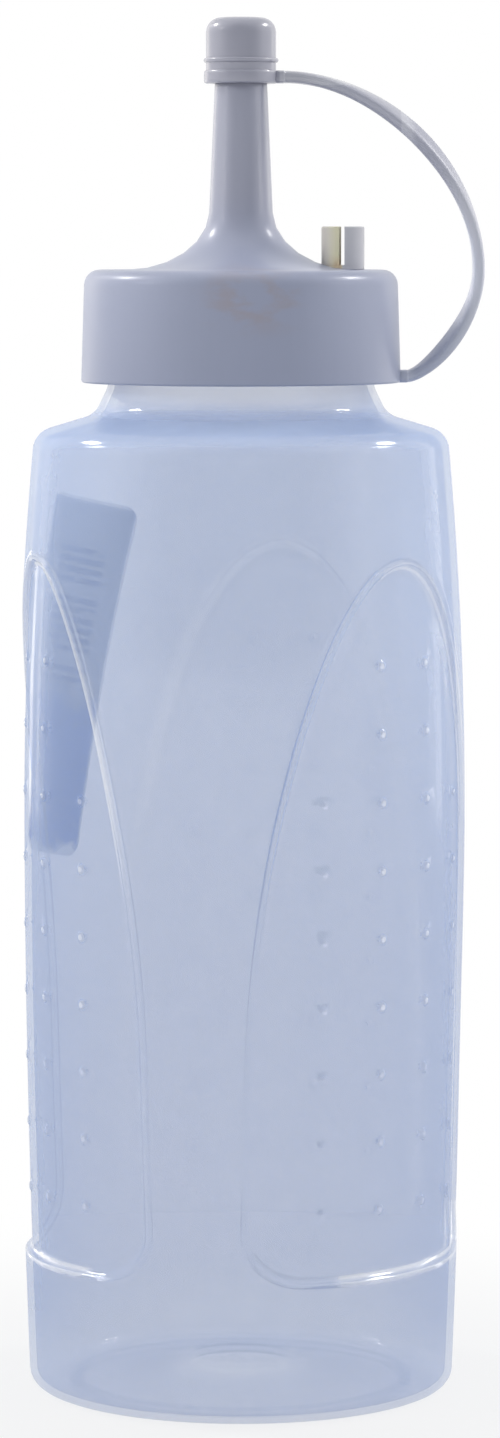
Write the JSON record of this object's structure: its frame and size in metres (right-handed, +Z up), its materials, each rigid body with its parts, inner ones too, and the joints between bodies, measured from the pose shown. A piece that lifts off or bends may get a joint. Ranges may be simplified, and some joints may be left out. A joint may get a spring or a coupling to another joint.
{
  "type": "squeeze bottle with tethered tip cap",
  "caption": "Clear squeeze bottle for sauces, with arched grip panels, a screw cap with a long tapered nozzle, and a tip cap held by a moulded strap.",
  "frame": {"origin": "the middle of the base, on the plane that the bottle stands on", "axes": "+Z up along the bottle's axis, -Y the front as pictured, +X towards the tether and the parking post"},
  "size_m": [0.0789, 0.0759, 0.2342],
  "materials": {
    "clear_plastic": "hazy clear, slightly blue, gloss",
    "cap_plastic": "pale grey-blue, satin, a little milky",
    "post_plastic": "cream grey, satin",
    "seal_foam": "white closed-cell foam",
    "sticker": "matte film, pale grey above and blue below"
  },
  "bodies": {
    "bottle": {"bottle_body": "clear_plastic", "label": "sticker"},
    "seal": {"cap_seal": "seal_foam"},
    "cap": {"screw_cap": "cap_plastic", "parking_post": "post_plastic", "tether_strap": "cap_plastic"},
    "tip": {"tip_cap": "cap_plastic"}
  },
  "joints": [
    {"name": "cap_lift", "type": "slide", "parent": "bottle", "child": "seal", "axis": [0, 0, 1], "range_m": [0, 0.00735]},
    {"name": "cap_turn", "type": "hinge", "parent": "seal", "child": "cap", "pos_m": [0, 0, 0.18], "axis": [0, 0, 1], "range_deg": [0, 630.5]},
    {"name": "tip_pull", "type": "slide", "parent": "cap", "child": "tip", "axis": [0, 0, 1], "range_m": [0, 0.02], "deforming": ["tether_strap"]}
  ],
  "couplings": [
    {"joint": "cap_turn", "follows": "cap_lift", "rad_per_m": 1496}
  ]
}
